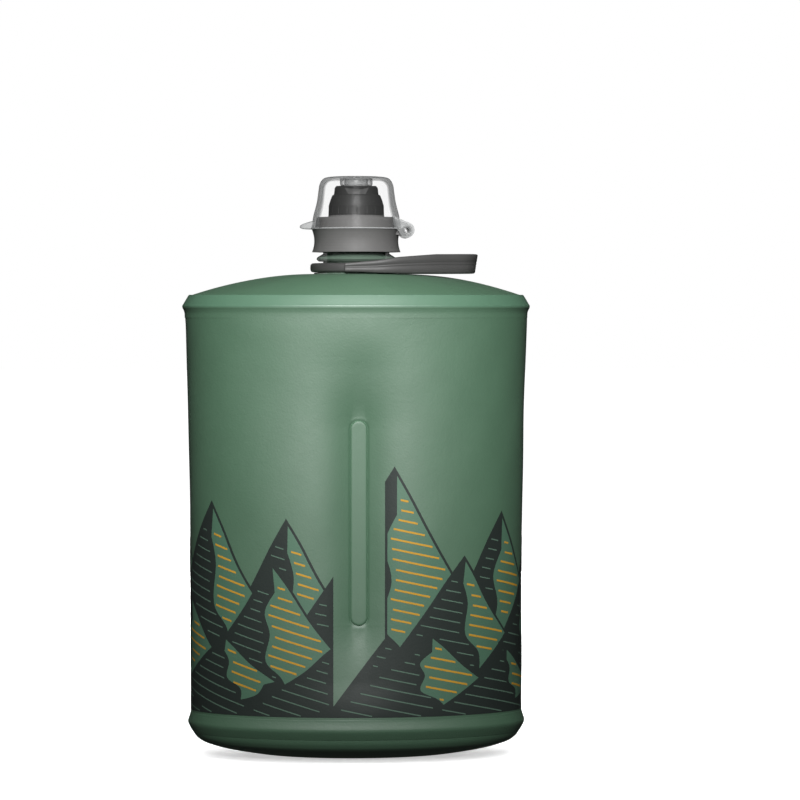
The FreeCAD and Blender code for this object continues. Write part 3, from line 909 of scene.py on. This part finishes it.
def strap_loop():
    """One band: out from the ring's front, round the end and back to its rear."""
    half_thick = 1.0 * MM
    side = LOOP_HALF - half_thick
    end = LOOP_END - half_thick
    half = [(-4.8 * MM, side), (0, side), (12 * MM, 17.3 * MM), (24 * MM, 14.0 * MM),
            (34 * MM, 9.9 * MM), (41.6 * MM, 6.0 * MM)]
    line = half + [(end, 0)] + [(x, -y) for x, y in reversed(half)]
    path = through(line, 10)
    # How far the band's edges are above the ring's foot at places along X, in millimetres
    stops = [-4, 0, 7, 15, 29, 46]
    tops = [3.35, 3.7, 4.35, 5.55, 6.65, 6.85]
    bottoms = [0.05, 0.0, -0.35, -0.5, -0.52, -0.5]
    lean = 0.16
    section = strap_section()
    points = []
    for i, here in enumerate(path):
        ahead = path[min(i + 1, len(path) - 1)] - path[max(i - 1, 0)]
        along = Vector((ahead[0], ahead[1], 0)).normalized()
        out = Vector((-along.y, along.x, 0))
        low = RING_LOW + np.interp(here[0] / MM, stops, bottoms) * MM
        high = RING_LOW + np.interp(here[0] / MM, stops, tops) * MM
        for across, up in section:
            spot = Vector((here[0], here[1], 0)) + out * across
            slant = lean * (high - low) * (1 - up) / 2 * smooth((spot.x - 30 * MM) / (12 * MM))
            points.append((spot.x - slant, spot.y, (low + high) / 2 + up * (high - low) / 2))
    count = len(section)
    faces = grid_faces(len(path), count, closed_columns=True)
    faces.append(tuple(range(count)))
    last = (len(path) - 1) * count
    faces.append(tuple(last + k for k in reversed(range(count))))
    return mesh_piece("strap_loop_soft", points, faces, [STRAP_GREY])


def strap_section():
    """Across the band: 2 mm thick with round edges and two fine lines along each face."""
    face = [(1.0, 0.86), (1.0, 0.2), (0.86, 0.14), (1.0, 0.08), (1.0, -0.08), (0.86, -0.14),
            (1.0, -0.2), (1.0, -0.86)]
    edge = [(0.72, -0.97), (0.0, -1.0), (-0.72, -0.97)]
    ring = face + edge + [(-a, -u) for a, u in face] + [(-a, -u) for a, u in edge]
    return [(a * MM, u) for a, u in ring]


# ---------------------------------------------------------------- carried-over CAD pieces

FINISHES = {
    "neck_finish": NECK_CLEAR,
    "neck_gasket": SEAL,
    "screw_cap": CAP_GREY,
    "valve_post": CAP_GREY,
    "twist_collar": SPOUT_DARK,
    "spout": SPOUT_DARK,
    "spout_o_ring": SEAL_DARK,
    "cover_hinge_pin": PIN,
}


def finish_cad_pieces():
    for node, material in FINISHES.items():
        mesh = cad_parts[node].data
        for i in range(len(mesh.materials)):
            mesh.materials[i] = material


# ---------------------------------------------------------------- assembly

def soft(piece, *nodes):
    """A piece of the bag: it rides on the bag's root body and stands in for the named CAD pieces."""
    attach(piece, "root")
    if nodes:
        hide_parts(*nodes)
    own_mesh(piece)


def build():
    finish_cad_pieces()
    soft(bag_wall(), "front_wall", "back_wall")
    for band in top_rim():
        soft(band, "top_rim_weld")
    soft(bottom_rim(), "bottom_rim_weld")
    soft(shoulder(), "top_gusset")
    soft(base(), "bottom_gusset")
    soft(baffle(), "centre_baffle")
    soft(mountains("front_print", 0.0))
    soft(mountains("back_print", HALF_ROUND))
    for side, body, node in ((-1, "front_press", "front_weld_strip"),
                             (1, "back_press", "back_weld_strip")):
        bar = weld_bar(side)
        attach(bar, body)
        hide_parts(node)
    for piece in cover_shell() + cover_arms() + [cover_tab()]:
        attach(piece, "cover")
        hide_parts("dust_cover")
    ring = strap_ring()
    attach(ring, "strap_collar")
    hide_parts("strap_ring")
    loop = strap_loop()
    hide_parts("strap_loop")
    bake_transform(loop)


# ---------------------------------------------------------------- camera, light and floor

def camera():
    """A long lens level with the rim, a touch from the left, aimed a little down."""
    turn = math.radians(2.5)
    distance = 1.3
    aside = 16.35 * MM
    eye_height = 167 * MM
    target_height = 132.4 * MM
    ahead = Vector((math.sin(turn), math.cos(turn), 0))
    middle = Vector((math.cos(turn), -math.sin(turn), 0)) * aside
    eye = middle - ahead * distance + Vector((0, 0, eye_height))
    target = middle + Vector((0, 0, target_height))
    data = bpy.data.cameras.new("camera")
    data.sensor_width = 36
    data.lens = 156.3
    data.clip_end = 50
    eye_object = bpy.data.objects.new("camera", data)
    eye_object.location = eye
    eye_object.rotation_euler = (target - eye).to_track_quat("-Z", "Y").to_euler()
    bpy.context.scene.collection.objects.link(eye_object)
    bpy.context.scene.camera = eye_object


def softbox(name, place, width, height, power, spread, glossy=True):
    """An area light facing the upper bag. The camera sees through it."""
    target = Vector((0, 0, 0.16))
    data = bpy.data.lights.new(name, "AREA")
    data.shape = "RECTANGLE"
    data.size = width
    data.size_y = height
    data.energy = power
    light = bpy.data.objects.new(name, data)
    light.location = place
    light.rotation_euler = (target - Vector(place)).to_track_quat("-Z", "Y").to_euler()
    data.spread = math.radians(spread)
    light.visible_camera = False
    light.visible_glossy = glossy
    bpy.context.scene.collection.objects.link(light)


def floor_light(ground):
    """Light from straight above that reaches only the floor, to keep it white."""
    data = bpy.data.lights.new("floor_light", "SUN")
    data.energy = 2.2
    data.angle = math.radians(70)
    light = bpy.data.objects.new("floor_light", data)
    bpy.context.scene.collection.objects.link(light)
    lit = bpy.data.collections.new("floor_only")
    lit.objects.link(ground)
    light.light_linking.receiver_collection = lit


def studio():
    softbox("front_strip", (-0.012, -0.52, 0.38), 0.22, 0.25, 0.26, 40)
    softbox("top_strip", (0.02, -0.35, 0.62), 0.12, 0.12, 0.018, 36)
    softbox("rear_softbox", (0.1, 1.2, 0.6), 0.9, 0.9, 6, 180, glossy=False)
    softbox("low_rear_softbox", (0, 0.9, 0.12), 0.5, 0.2, 4, 180, glossy=False)
    world = bpy.data.worlds.new("studio")
    world.use_nodes = True
    tree = world.node_tree
    path = tree.nodes.new("ShaderNodeLightPath")
    strength = remap(tree, path.outputs["Is Camera Ray"], 0.022, 1.0)
    tree.links.new(strength, tree.nodes["Background"].inputs["Strength"])
    tree.nodes["Background"].inputs["Color"].default_value = (1, 1, 1, 1)
    bpy.context.scene.world = world


def floor():
    size = 8
    material, tree, shader = new_material("floor_pale", (0.9, 0.9, 0.9), 0.8)
    tinted(tree, shader, noise(tree, 0.4, 2), (0.89, 0.89, 0.89), (0.91, 0.91, 0.91))
    shader.inputs["Specular IOR Level"].default_value = 0.1
    shader.inputs["Emission Color"].default_value = (1, 1, 1, 1)
    shader.inputs["Emission Strength"].default_value = 0.5
    corners = [(-size, -size, 0), (size, -size, 0), (size, size, 0), (-size, size, 0)]
    ground = mesh_piece("floor", corners, [(0, 1, 2, 3)], [material])
    ground.visible_diffuse = False
    ground.visible_glossy = False
    floor_light(ground)


camera()
studio()
floor()
build()
bpy.context.scene.view_settings.view_transform = "Standard"
